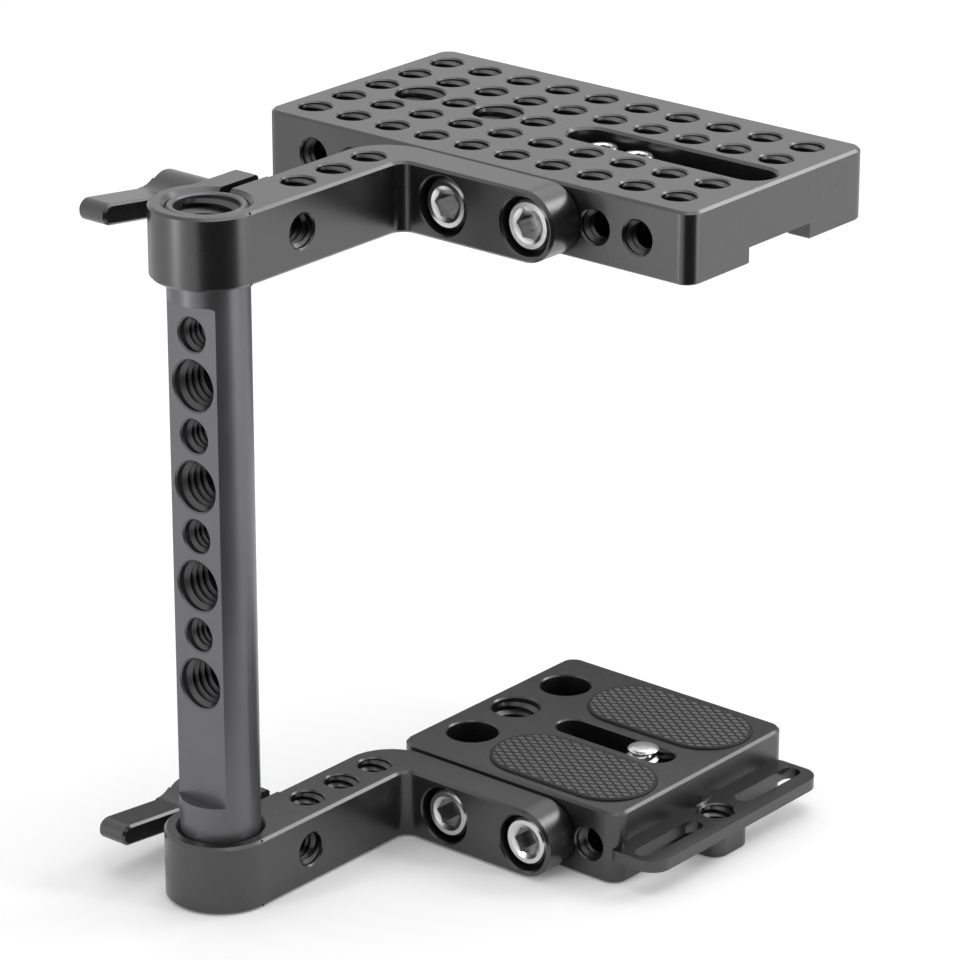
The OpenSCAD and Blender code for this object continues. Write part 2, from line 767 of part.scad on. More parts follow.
module base_plate() {
  slot_r = base_slot_w/2;
  neck_r = neck_slot_w/2;
  slot_run = base_slot_len - base_slot_w;
  strap_r = strap_slot_w/2;
  strap_run = strap_slot_len - strap_slot_w;
  pad_y = pad_margin + pad_w/2;
  color("dimgray")
    difference() {
      union() {
        translate([base_start, arm_reach, 0])
          difference() {
            linear_extrude(base_h) rounded_rect(base_w, base_l, plate_corner_r);
            edge_frame(base_w, base_l, plate_corner_r, lower_bevel);
          }
        translate([base_end, arm_reach, 0]) strap_flange();
      }
      translate([base_start, arm_reach, base_h])
        edge_frame(base_w, base_l, plate_corner_r, plate_bevel);
      for (y = [-plain_hole_y, plain_hole_y])
        translate([base_start + plain_hole_x, base_mid_y + y, base_h])
          through_hole(plain_hole_d, base_h);
      translate([base_start + large_hole_x, base_mid_y, base_h])
        through_hole(large_thread_d, base_h);
      translate([base_slot_start + slot_r, base_mid_y, 0]) {
        translate([0, 0, web_z]) slot_cut(slot_run, slot_r, base_h);
        translate([0, 0, base_h]) slot_mouth(slot_run, slot_r, mouth_bevel);
        translate([0, 0, -over]) slot_cut(slot_run, neck_r, base_h);
        translate([0, 0, -over]) cylinder(r = slot_r, h = base_h);
        translate([0, 0, -over]) slot_cut(slot_run, recess_w/2, recess_h + over);
        mirror([0, 0, 1]) slot_mouth(slot_run, recess_w/2, mouth_bevel);
      }
      side_holes(base_start + side_hole_margin, base_end, arm_h/2);
      pad_pocket(arm_reach + pad_y);
      pad_pocket(arm_reach + base_l - pad_y);
      translate([base_end + strap_slot_x, arm_reach, 0])
        for (y = [strap_slot_gap, base_l - strap_slot_gap - strap_slot_len])
          translate([0, y + strap_r, flange_low - over])
            rotate([0, 0, 90]) slot_cut(strap_run, strap_r, flange_t + 2*over);
      translate([base_end + flange_hole_x, base_mid_y, flange_low + flange_t])
        through_hole(small_thread_d, flange_low + flange_t);
    }
}

// Grip pad let into the base plate's top
module grip_pad(y) {
  pad_r = pad_w/2;
  color("#2a2a2a")
    translate([base_start + pad_x + pad_r, y, base_h - pad_t + pad_proud])
      difference() {
        slot_cut(pad_len - pad_w, pad_r, pad_t);
        translate([0, 0, pad_t]) {
          for (y = [-pad_r, pad_r]) translate([0, y, 0]) edge_bar(pad_len - pad_w, pad_proud/2);
          edge_ring(pad_r, pad_proud/2, 90, 180);
          translate([pad_len - pad_w, 0, 0]) edge_ring(pad_r, pad_proud/2, 270, 180);
        }
      }
}

module grip_pad_front() {
  grip_pad(arm_reach + pad_margin + pad_w/2);
}

module grip_pad_rear() {
  grip_pad(arm_reach + base_l - pad_margin - pad_w/2);
}

// Captive camera screw: a short thread above the web, a thin neck in it and a slotted head below

module camera_screw() {
  head_r = camera_head_d/2;
  thread_r = camera_thread_d/2;
  thread_low = web_z + slide_gap;
  tip_z = base_h + camera_screw_rise;
  head_top = camera_head_gap + camera_head_t;
  drive_w = camera_head_t/2;
  color("silver")
    translate([camera_x, base_mid_y, 0])
      difference() {
        union() {
          translate([0, 0, camera_head_gap]) cylinder(r = head_r, h = camera_head_t);
          translate([0, 0, head_top - camera_head_t/2])
            cylinder(d = camera_neck_d, h = thread_low - head_top + camera_head_t);
          translate([0, 0, thread_low]) cylinder(r = thread_r, h = tip_z - thread_low);
        }
        translate([0, 0, tip_z]) edge_ring(thread_r, tip_bevel);
        for (z = [camera_head_gap, head_top]) translate([0, 0, z])
          edge_ring(head_r, mouth_bevel);
        translate([-camera_head_d, -drive_w/2, camera_head_gap - over])
          cube([2*camera_head_d, drive_w, over + camera_head_t/2]);
      }
}

module camera_screw_washer() {
  color("black")
    translate([camera_x, base_mid_y, recess_h - slide_gap - camera_washer_t])
      difference() {
        cylinder(d = camera_head_d, h = camera_washer_t);
        translate([0, 0, -over])
          cylinder(d = camera_thread_d + 2*shank_fit, h = camera_washer_t + 2*over);
      }
}

base_plate();
grip_pad_front();
grip_pad_rear();
camera_screw();
camera_screw_washer();
lower_arm();
lower_arm_screw_inner();
lower_arm_screw_outer();
lower_clamp_lever();
lower_clamp_stud();
lower_clamp_washer();
rod();
upper_arm();
upper_arm_screw_inner();
upper_arm_screw_outer();
upper_clamp_lever();
upper_clamp_stud();
upper_clamp_washer();
top_plate();
shoe_block();
shoe_screw_left();
shoe_screw_right();
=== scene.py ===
import json
import math

import bpy
from bpy.props import FloatProperty, PointerProperty, StringProperty
from mathutils import Matrix, Vector


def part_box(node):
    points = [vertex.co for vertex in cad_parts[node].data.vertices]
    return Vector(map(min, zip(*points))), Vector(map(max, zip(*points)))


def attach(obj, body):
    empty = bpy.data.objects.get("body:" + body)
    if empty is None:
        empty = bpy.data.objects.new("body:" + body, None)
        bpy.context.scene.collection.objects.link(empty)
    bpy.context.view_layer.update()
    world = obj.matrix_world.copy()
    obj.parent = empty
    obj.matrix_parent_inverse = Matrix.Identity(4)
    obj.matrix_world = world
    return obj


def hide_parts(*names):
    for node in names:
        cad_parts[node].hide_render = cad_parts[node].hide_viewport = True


bl_info = {
    "name": "Camera Cage",
    "version": (1, 0, 0),
    "blender": (4, 5, 0),
    "location": "View3D > Sidebar > Camera Cage",
    "description": "Threads, camera screw, finishes and studio for a clamp-arm camera cage",
    "category": "Object",
}

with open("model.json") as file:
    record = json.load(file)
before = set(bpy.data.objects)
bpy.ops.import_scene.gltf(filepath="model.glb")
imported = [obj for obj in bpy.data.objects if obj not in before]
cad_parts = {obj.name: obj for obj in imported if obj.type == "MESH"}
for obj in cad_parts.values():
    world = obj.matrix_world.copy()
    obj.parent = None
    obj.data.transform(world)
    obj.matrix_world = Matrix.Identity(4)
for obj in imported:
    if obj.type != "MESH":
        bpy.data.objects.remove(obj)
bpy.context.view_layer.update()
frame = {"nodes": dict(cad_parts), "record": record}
MM = 0.001

# Points nearer than this are one point, and faces that meet at less than this are shaded as one
WELD = 1e-7
SMOOTH_ANGLE = math.radians(35)

# Which part of the cage a mount of the record moves with, by the first word or two of its name
MOUNT_BODIES = {
    "rod": "rod",
    "top": "upper_frame",
    "upper_arm": "upper_frame",
    "base": "base",
    "flange": "base",
    "lower_arm": "base",
}

# Radii of the tapped holes in mm, as the record states them
SMALL_R = 3.175
LARGE_R = 4.7625
ROD_R = 6.0

# Depth of the ridges in the tapped holes of the record's patterns, by the start of their names
SIDE_DEPTH = 3.8 * MM
PATTERN_DEPTHS = {
    "rod_": 8.7 * MM,
    "top_side": SIDE_DEPTH,
    "top_": 12.9 * MM,
    "upper_arm": 12.9 * MM,
    "lower_arm": 12.9 * MM,
}

# Which way each steel piece's outer face looks, and the corner radius of its hexagon socket
AXES = {
    "clamp": ((-1, 0, 0), 0.0),
    "camera": ((0, 0, 1), 0.0),
    "shoe": ((0, 0, 1), 1.8 * MM),
    "arm": ((0, -1, 0), 2.9 * MM),
}

# Bevel at the mouth of a patterned hole, in which no ridge stands
MOUTH = 0.3 * MM

# Pitch of the hole grid
GRID = 9.525 * MM

# The inner holes past this X open into the channel under the top plate, so they are shorter
CHANNEL_START = 14 * MM
OVER_CHANNEL = 10.1 * MM

# Mouths of the clamp screws' holes on the legs' sides: X and Y of both, and the height on each body
CLAMP_MOUTH = (10.2 * MM, 13.225 * MM)
CLAMP_HEIGHTS = {"base": 6.75 * MM, "upper_frame": 127.55 * MM}
CLAMP_DEPTH = 6.8 * MM

# A thread ridge's depth, crest and foot as shares of its pitch, and how far its root sits in the wall
THREAD_DEPTH = 0.54
CREST_START, CREST_END, RIDGE_END = 0.43, 0.52, 0.95
WALL_OVERLAP = 0.02 * MM

# Middle of the cage, at which the lamps aim
MIDDLE = Vector((0.03, 0.05, 0.07))

# The photograph's camera, fitted to the hole grid
CAMERA_LENS = 171.22
CAMERA_PLACE = (0.5254, -0.55525, 0.3793)
CAMERA_RIGHT = Vector((0.7679, 0.6405, 0.0))
CAMERA_BACK = Vector((0.5967, -0.7155, 0.3633))


# Small helpers


def deselect_all():
    bpy.ops.object.select_all(action="DESELECT")


def activate(piece):
    deselect_all()
    piece.select_set(True)
    bpy.context.view_layer.objects.active = piece


def linear(hex_colour):
    """An sRGB hex value as the linear colour that a shader socket takes."""
    channels = [int(hex_colour[i:i + 2], 16) / 255 for i in (1, 3, 5)]
    return [c / 12.92 if c <= 0.04045 else ((c + 0.055) / 1.055) ** 2.4 for c in channels] + [1]


def add_node(tree, kind, settings=None, links=None):
    """Adds a shader node, sets its properties and sockets, and links its inputs."""
    node = tree.nodes.new(kind)
    for key, value in (settings or {}).items():
        if isinstance(key, str) and hasattr(node, key):
            setattr(node, key, value)
        else:
            node.inputs[key].default_value = value
    for key, source in (links or {}).items():
        tree.links.new(source, node.inputs[key])
    return node


def empty_material(name):
    material = bpy.data.materials.new(name)
    material.use_nodes = True
    material.node_tree.nodes.clear()
    return material, material.node_tree


def finish_material(tree, shader):
    add_node(tree, "ShaderNodeOutputMaterial", {}, {"Surface": shader})


def seen_or_reflected(tree):
    """One on rays from the camera and on those that metal or glass send on, otherwise zero."""
    path = add_node(tree, "ShaderNodeLightPath")
    either = add_node(tree, "ShaderNodeMath", {"operation": "MAXIMUM"},
                      {0: path.outputs["Is Camera Ray"], 1: path.outputs["Is Glossy Ray"]})
    shown = add_node(tree, "ShaderNodeMath", {"operation": "MAXIMUM"},
                     {0: either.outputs[0], 1: path.outputs["Is Transmission Ray"]})
    return shown.outputs[0]


# Turned forms


def turn_profile(name, points, steps, pitch=0.0, turns=1):
    """Turns a closed outline of (radius, height) points about Z, or winds it into a ridge."""
    deselect_all()
    bpy.ops.mesh.primitive_circle_add(vertices=len(points), radius=points[0][0], fill_type="NOTHING")
    piece = bpy.context.active_object
    piece.name = name
    for vertex, (radius, height) in zip(piece.data.vertices, points):
        vertex.co = (radius, 0, height)
    screw = piece.modifiers.new("Turn", "SCREW")
    screw.axis = "Z"
    screw.angle = 2 * math.pi
    screw.screw_offset = pitch
    screw.iterations = turns
    screw.steps = steps
    screw.render_steps = steps
    screw.use_merge_vertices = pitch == 0
    screw.merge_threshold = WELD
    screw.use_smooth_shade = True
    activate(piece)
    bpy.ops.object.modifier_apply(modifier=screw.name)
    bpy.ops.object.mode_set(mode="EDIT")
    bpy.ops.mesh.select_all(action="SELECT")
    bpy.ops.mesh.remove_doubles(threshold=WELD)
    bpy.ops.mesh.dissolve_degenerate(threshold=WELD / 10)
    bpy.ops.mesh.delete_loose(use_verts=True, use_edges=True, use_faces=False)
    if pitch:
        bpy.ops.mesh.select_all(action="DESELECT")
        bpy.ops.mesh.select_non_manifold(extend=False, use_wire=False, use_multi_face=False,
                                         use_non_contiguous=False, use_verts=False)
        bpy.ops.mesh.edge_face_add()
    bpy.ops.mesh.select_all(action="SELECT")
    bpy.ops.mesh.normals_make_consistent(inside=False)
    bpy.ops.object.mode_set(mode="OBJECT")
    bpy.ops.object.shade_smooth_by_angle(angle=SMOOTH_ANGLE)
    return piece


def run_out(ridge, points, steps, root_r):
    """Lets a ridge rise from its root over the first steps and sink back over the last."""
    last = len(ridge.data.vertices) // points - 1
    # A little is left at both ends, so that the end faces keep an area
    least = 0.05
    for vertex in ridge.data.vertices:
        step = vertex.index // points
        share = max(least, min(1, step / steps, (last - step) / steps))
        radius = math.hypot(vertex.co.x, vertex.co.y)
        scale = (root_r + (radius - root_r) * share) / radius
        vertex.co.x *= scale
        vertex.co.y *= scale


def thread_ridge(name, wall_r, pitch, length, steps):
    """The ridge of a tapped hole: it stands on the bore's wall and winds up along +Z from zero."""
    crest_r = wall_r - THREAD_DEPTH * pitch
    root_r = wall_r + WALL_OVERLAP
    turns = max(1, int((length - RIDGE_END * pitch) / pitch))
    outline = [(root_r, 0), (crest_r, CREST_START * pitch), (crest_r, CREST_END * pitch),
               (root_r, RIDGE_END * pitch)]
    ridge = turn_profile(name, outline, steps, pitch, turns)
    run_out(ridge, len(outline), steps // 4, root_r)
    slack = length - (turns + RIDGE_END) * pitch
    ridge.data.transform(Matrix.Translation((0, 0, slack / 2)))
    return ridge


def place_copy(source, name, matrix, body, material):
    """A copy with a mesh of its own, put in place through its mesh."""
    piece = source.copy()
    piece.data = source.data.copy()
    piece.name = name
    piece.data.transform(matrix)
    bpy.context.scene.collection.objects.link(piece)
    piece.data.materials.clear()
    piece.data.materials.append(material)
    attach(piece, body)


def body_of_mount(name):
    for start, body in MOUNT_BODIES.items():
        if name.startswith(start):
            return body
    return None


def tapped_holes():
    """Every open tapped hole: name, body, radius in mm, axis, ridge depth and mouths."""
    holes = []
    for mount in frame["record"]["mounts"]:
        name, kind, dims = mount["name"], mount["kind"], mount["dims"]
        axis = Vector(mount["axis"])
        centre = Vector(mount["pos_m"])
        body = body_of_mount(name)
        depths = [depth for start, depth in PATTERN_DEPTHS.items() if name.startswith(start)]
        if kind == "threaded_hole":
            depth = SIDE_DEPTH if name == "base_side_thread" else dims["length_mm"] * MM
            holes.append((name, body, dims["r_mm"], axis, depth, [centre]))
        elif name == "top_inner_holes_over_shoe":
            mouths = [centre + Vector((i * GRID, j * GRID, -MOUTH)) for i in (-1, 0, 1) for j in (0, 2)]
            holes.append((name, body, SMALL_R, axis, OVER_CHANNEL, mouths))
        elif kind == "bolt_pattern" and depths:
            along = Vector((dims.get("spacing_x_mm", 0), 0, 0)) * MM / 2
            across = Vector((0, dims.get("spacing_y_mm", 0), 0)) * MM / 2
            # A pattern in a front face spreads up instead of back
            if abs(axis.y) > 0.5:
                across = Vector((0, 0, across.y))
            steps_x = (-1, 1) if along.length else (0,)
            steps_y = (-1, 1) if across.length else (0,)
            mouths = [centre - axis * MOUTH + i * along + j * across for i in steps_x for j in steps_y]
            holes.append((name, body, dims["hole_r_mm"], axis, depths[0], mouths))
    for body, height in CLAMP_HEIGHTS.items():
        mouth = Vector(CLAMP_MOUTH + (height,))
        holes.append(("%s_clamp_hole" % body, body, SMALL_R, Vector((1, 0, 0)), CLAMP_DEPTH, [mouth]))
    return holes


# Finishes


def anodised(name, colour, metallic, roughness, grain_mm, bump):
    """Bead-blasted, black anodised aluminium: the dyed oxide swallows most light, so faces that
    look at the viewer stay near black and grazing faces and rounded edges carry a satin sheen."""
    material, tree = empty_material(name)
    place = add_node(tree, "ShaderNodeTexCoord").outputs["Object"]
    # Blasting pits are about 0.05 mm wide, drawn coarser so that they show
    pits = add_node(tree, "ShaderNodeTexNoise",
                    {"Scale": 1 / (grain_mm * MM), "Detail": 3.0, "Roughness": 0.6}, {"Vector": place})
    # The dye takes a little unevenly, in faint clouds some 9 mm wide
    mottle = add_node(tree, "ShaderNodeTexNoise", {"Scale": 1 / (9 * MM), "Detail": 2.0}, {"Vector": place})
    tone = add_node(tree, "ShaderNodeMix", {"data_type": "RGBA"}, {0: mottle.outputs["Fac"]})
    tone.inputs[6].default_value = linear(colour)
    tone.inputs[7].default_value = [1.2 * c for c in linear(colour)[:3]] + [1]
    gloss = add_node(tree, "ShaderNodeMapRange",
                     {"To Min": roughness - 0.03, "To Max": roughness + 0.04},
                     {"Value": mottle.outputs["Fac"]})
    relief = add_node(tree, "ShaderNodeBump", {"Strength": bump, "Distance": 0.02 * MM},
                      {"Height": pits.outputs["Fac"]})
    shader = add_node(tree, "ShaderNodeBsdfPrincipled", {"Metallic": metallic, "Specular IOR Level": 1.0},
                      {"Base Color": tone.outputs[2], "Roughness": gloss.outputs["Result"],
                       "Normal": relief.outputs["Normal"]})
    finish_material(tree, shader.outputs[0])
    return material


def turned_steel(name, colour, roughness, centre, axis, socket_r, face):
    """Turned stainless steel: bright, with fine rings round its axis that stretch its highlights.
    The colour inside the broached socket, below the head's face, is painted a quarter darker as painted
    shade."""
    material, tree = empty_material(name)
    texture_place = add_node(tree, "ShaderNodeTexCoord").outputs["Object"]
    place = add_node(tree, "ShaderNodeVectorMath", {"operation": "SUBTRACT", 1: centre}, {0: texture_place})
    # Only the two directions across the axis count for the distance from it
    across = [0.0 if abs(part) > 0.5 else 1.0 for part in axis]
    flat = add_node(tree, "ShaderNodeVectorMath", {"operation": "MULTIPLY", 1: across}, {0: place.outputs[0]})
    reach = add_node(tree, "ShaderNodeVectorMath", {"operation": "LENGTH"}, {0: flat.outputs[0]})
    # Lathe feed is about 0.05 mm, drawn at 0.25 mm so that it shows
    rings = add_node(tree, "ShaderNodeMath", {"operation": "PINGPONG", 1: 0.125 * MM},
                     {0: reach.outputs["Value"]})
    cloud = add_node(tree, "ShaderNodeTexNoise", {"Scale": 1 / (2 * MM), "Detail": 2.0},
                     {"Vector": texture_place})
    gloss = add_node(tree, "ShaderNodeMapRange",
                     {"To Min": roughness - 0.04, "To Max": roughness + 0.06},
                     {"Value": cloud.outputs["Fac"]})
    relief = add_node(tree, "ShaderNodeBump", {"Strength": 0.1, "Distance": 0.5},
                      {"Height": rings.outputs[0]})
    outside = add_node(tree, "ShaderNodeMath", {"operation": "GREATER_THAN", 1: socket_r},
                       {0: reach.outputs["Value"]})
    along = add_node(tree, "ShaderNodeVectorMath", {"operation": "DOT_PRODUCT", 1: axis},
                     {0: place.outputs[0]})
    on_face = add_node(tree, "ShaderNodeMath", {"operation": "GREATER_THAN", 1: face - 0.2 * MM},
                       {0: along.outputs["Value"]})
    clear_of_painted_socket_shade = add_node(tree, "ShaderNodeMath", {"operation": "MAXIMUM"},
                      {0: outside.outputs[0], 1: on_face.outputs[0]})
    # Inside the socket and below the head's face the steel's colour is painted at 75%: painted shade in the
    # recess
    tone = add_node(tree, "ShaderNodeMix", {"data_type": "RGBA"}, {0: clear_of_painted_socket_shade.outputs[0]})
    tone.inputs[6].default_value = [0.75 * c for c in linear(colour)[:3]] + [1]
    tone.inputs[7].default_value = linear(colour)
    shader = add_node(tree, "ShaderNodeBsdfPrincipled", {"Metallic": 1.0},
                      {"Base Color": tone.outputs[2], "Roughness": gloss.outputs["Result"],
                       "Normal": relief.outputs["Normal"]})
    finish_material(tree, shader.outputs[0])
    return material


def diamond_rubber(name, colour, pitch_mm, centre, run, radius):
    """Moulded rubber: small raised diamonds in the pad's colour over grooves painted near black as shade,
    and a plain rim along the pad's outline painted as dark as the grooves."""
    material, tree = empty_material(name)
    texture_place = add_node(tree, "ShaderNodeTexCoord").outputs["Object"]
    place = add_node(tree, "ShaderNodeVectorMath", {"operation": "SUBTRACT", 1: centre}, {0: texture_place})
    split = add_node(tree, "ShaderNodeSeparateXYZ", {}, {"Vector": place.outputs[0]})
    # Each family of grooves runs 32 degrees off the pad's length
    lean = math.radians(32)
    waves = []
    for across in (1, -1):
        along = add_node(tree, "ShaderNodeMath",
                         {"operation": "MULTIPLY", 1: math.sin(lean) / (pitch_mm * MM)},
                         {0: split.outputs["X"]})
        side = add_node(tree, "ShaderNodeMath",
                        {"operation": "MULTIPLY", 1: across * math.cos(lean) / (pitch_mm * MM)},
                        {0: split.outputs["Y"]})
        total = add_node(tree, "ShaderNodeMath", {"operation": "ADD"},
                         {0: along.outputs[0], 1: side.outputs[0]})
        wave = add_node(tree, "ShaderNodeMath", {"operation": "PINGPONG", 1: 0.5}, {0: total.outputs[0]})
        waves.append(wave)
    low = add_node(tree, "ShaderNodeMath", {"operation": "MINIMUM"},
                   {0: waves[0].outputs[0], 1: waves[1].outputs[0]})
    # How far a point lies inside the pad's outline
    out_x = add_node(tree, "ShaderNodeMath", {"operation": "ABSOLUTE"}, {0: split.outputs["X"]})
    past = add_node(tree, "ShaderNodeMath", {"operation": "SUBTRACT", 1: run / 2}, {0: out_x.outputs[0]})
    past = add_node(tree, "ShaderNodeMath", {"operation": "MAXIMUM", 1: 0.0}, {0: past.outputs[0]})
    flat = add_node(tree, "ShaderNodeCombineXYZ", {}, {"X": past.outputs[0], "Y": split.outputs["Y"]})
    reach = add_node(tree, "ShaderNodeVectorMath", {"operation": "LENGTH"}, {0: flat.outputs[0]})
    inner = add_node(tree, "ShaderNodeMapRange",
                     {"From Min": radius - 0.75 * MM, "From Max": radius - 0.45 * MM,
                      "To Min": 1.0, "To Max": 0.0},
                     {"Value": reach.outputs["Value"]})
    tops = add_node(tree, "ShaderNodeMapRange", {"From Min": 0.07, "From Max": 0.2},
                    {"Value": low.outputs[0]})
    height = add_node(tree, "ShaderNodeMath", {"operation": "MULTIPLY"},
                      {0: tops.outputs["Result"], 1: inner.outputs["Result"]})
    # Grooves and the plain rim take 5% of the pad's colour as painted shade; the diamond tops keep its full
    # colour
    tone = add_node(tree, "ShaderNodeMix", {"data_type": "RGBA"}, {0: height.outputs[0]})
    tone.inputs[6].default_value = [0.05 * c for c in linear(colour)[:3]] + [1]
    tone.inputs[7].default_value = linear(colour)
    grain = add_node(tree, "ShaderNodeTexNoise", {"Scale": 1 / (0.3 * MM), "Detail": 2.0},
                     {"Vector": texture_place})
    lift = add_node(tree, "ShaderNodeMath", {"operation": "MULTIPLY_ADD", 1: 0.12},
                    {0: grain.outputs["Fac"], 2: height.outputs[0]})
    relief = add_node(tree, "ShaderNodeBump", {"Strength": 1.0, "Distance": 0.3 * MM},
                      {"Height": lift.outputs[0]})
    shader = add_node(tree, "ShaderNodeBsdfPrincipled", {"Roughness": 0.5, "Specular IOR Level": 0.35},
                      {"Base Color": tone.outputs[2], "Normal": relief.outputs["Normal"]})
    finish_material(tree, shader.outputs[0])
    return material


def matt_nylon(name, colour):
    """Moulded nylon: dark, with a faint cloudy sheen."""
    material, tree = empty_material(name)
    place = add_node(tree, "ShaderNodeTexCoord").outputs["Object"]
    cloud = add_node(tree, "ShaderNodeTexNoise", {"Scale": 1 / (0.8 * MM), "Detail": 3.0}, {"Vector": place})
    gloss = add_node(tree, "ShaderNodeMapRange", {"To Min": 0.45, "To Max": 0.6},
                     {"Value": cloud.outputs["Fac"]})
    relief = add_node(tree, "ShaderNodeBump", {"Strength": 0.2, "Distance": 0.02 * MM},
                      {"Height": cloud.outputs["Fac"]})
    shader = add_node(tree, "ShaderNodeBsdfPrincipled", {"Base Color": linear(colour)},
                      {"Roughness": gloss.outputs["Result"], "Normal": relief.outputs["Normal"]})
    finish_material(tree, shader.outputs[0])
    return material


def studio_floor(name, colour):
    """A smooth paper sweep: it holds the soft shadow near the object and stays as pale further
    out, where the lamps reach it less."""
    material, tree = empty_material(name)
    place = add_node(tree, "ShaderNodeTexCoord").outputs["Object"]
    reach = add_node(tree, "ShaderNodeVectorMath", {"operation": "LENGTH"}, {0: place})
    lift = add_node(tree, "ShaderNodeMapRange",
                    {"From Min": 0.3, "From Max": 1.2, "To Min": 0.07, "To Max": 0.38},
                    {"Value": reach.outputs["Value"]})
    level = add_node(tree, "ShaderNodeMath", {"operation": "MULTIPLY"},
                     {0: lift.outputs["Result"], 1: seen_or_reflected(tree)})
    shader = add_node(tree, "ShaderNodeBsdfPrincipled",
                      {"Base Color": linear(colour), "Roughness": 0.9, "Specular IOR Level": 0.0,
                       "Emission Color": (1, 1, 1, 1)}, {"Emission Strength": level.outputs[0]})
    finish_material(tree, shader.outputs[0])
    return material


def dull_card(name, colour):
    """Dull board: it gives the metal something even and dark to reflect."""
    material, tree = empty_material(name)
    shader = add_node(tree, "ShaderNodeBsdfPrincipled",
                      {"Base Color": linear(colour), "Roughness": 1.0, "Specular IOR Level": 0.0})
    finish_material(tree, shader.outputs[0])
    return material


# Stage


def reflected_card(name, colour, profile, start, end):
    """A bent card round the cage from one bearing in degrees to the other, along a profile of
    (radius, height) points, that only reflections show."""
    columns = len(profile)
    rows = 16
    bpy.ops.mesh.primitive_grid_add(x_subdivisions=columns - 1, y_subdivisions=rows, size=1)
    card = bpy.context.active_object
    card.name = name
    for vertex in card.data.vertices:
        radius, height = profile[vertex.index % columns]
        turn = math.radians(start + (end - start) * (vertex.index // columns) / rows)
        vertex.co = (MIDDLE.x + radius * math.cos(turn), MIDDLE.y + radius * math.sin(turn), height)
    card.data.materials.append(dull_card(name + "_board", colour))
    card.visible_camera = False
    card.visible_diffuse = False
    card.visible_shadow = False
    card.visible_transmission = False


def light_room(scene):
    """A white room that lights the cage less than it shows."""
    world = bpy.data.worlds.new("studio_room")
    scene.world = world
    world.use_nodes = True
    tree = world.node_tree
    tree.nodes.clear()
    lit = add_node(tree, "ShaderNodeBackground", {"Color": (1, 1, 1, 1), "Strength": 0.6})
    seen = add_node(tree, "ShaderNodeBackground", {"Color": (1, 1, 1, 1), "Strength": 1.0})
    mix = add_node(tree, "ShaderNodeMixShader", {},
                   {0: seen_or_reflected(tree), 1: lit.outputs[0], 2: seen.outputs[0]})
    add_node(tree, "ShaderNodeOutputWorld", {}, {"Surface": mix.outputs[0]})


def soft_lamp(scene, name, place, width, height, watts):
    """An area lamp that looks at the middle of the cage."""
    light = bpy.data.lights.new(name, "AREA")
    light.shape = "RECTANGLE"
    light.size = width
    light.size_y = height
    light.energy = watts
    lamp = bpy.data.objects.new(name, light)
    scene.collection.objects.link(lamp)
    lamp.location = place
    lamp.visible_camera = False
    lamp.rotation_euler = (MIDDLE - Vector(place)).to_track_quat("-Z", "Y").to_euler()


def aim_camera(scene):
    """The camera that was fitted to the photograph's hole grid."""
    camera_data = bpy.data.cameras.new("studio_camera")
    camera_data.sensor_width = 36
    camera_data.lens = CAMERA_LENS
    camera_data.clip_end = 100
    camera = bpy.data.objects.new("studio_camera", camera_data)
    scene.collection.objects.link(camera)
    back = CAMERA_BACK.normalized()
    up = back.cross(CAMERA_RIGHT.normalized()).normalized()
    right = up.cross(back)
    turn = Matrix((right, up, back)).transposed().to_4x4()
    camera.matrix_world = Matrix.Translation(CAMERA_PLACE) @ turn
    scene.camera = camera


# Sizes and colours that a user would change


class CageSizes(bpy.types.PropertyGroup):
    small_pitch: FloatProperty(name="Small thread pitch", description="Pitch of the small tapped holes",
                               default=1.27 * MM, unit="LENGTH", precision=5)
    large_pitch: FloatProperty(name="Large thread pitch", description="Pitch of the large tapped holes",
                               default=1.5875 * MM, unit="LENGTH", precision=5)
    rod_pitch: FloatProperty(name="Rod thread pitch", description="Pitch of the threads in the rod's ends",
                             default=1.75 * MM, unit="LENGTH", precision=5)
    diamond_pitch: FloatProperty(name="Diamond pitch", description="Spacing of the grooves of the grip pads",
                                 default=1.5 * MM, unit="LENGTH", precision=5)


class CageColours(bpy.types.PropertyGroup):
    plates: StringProperty(name="Plates", description="Dye of the plates and clamp arms", default="#141415")
    rod: StringProperty(name="Rod", description="Dye of the upright rod", default="#5a5a5c")
    # The threads' colour is darker than the plates' as painted shade inside the tapped holes
    threads: StringProperty(name="Threads", description="Colour of the tapped threads, darkened as painted shade", default="#0c0c0c")
    levers: StringProperty(name="Levers", description="Dye of the clamp levers", default="#141415")
    steel: StringProperty(name="Steel", description="Colour of the screws", default="#d4d4d4")
    pads: StringProperty(name="Pads", description="Colour of the grip pads", default="#606062")
    nylon: StringProperty(name="Nylon", description="Colour of the washer", default="#161616")
    floor: StringProperty(name="Floor", description="Colour of the floor", default="#f8f8f8")
    front_card: StringProperty(name="Front card", description="Colour of the card in front",
                               default="#101010")
    back_card: StringProperty(name="Back card", description="Colour of the card behind", default="#8c8c8c")


# Operators


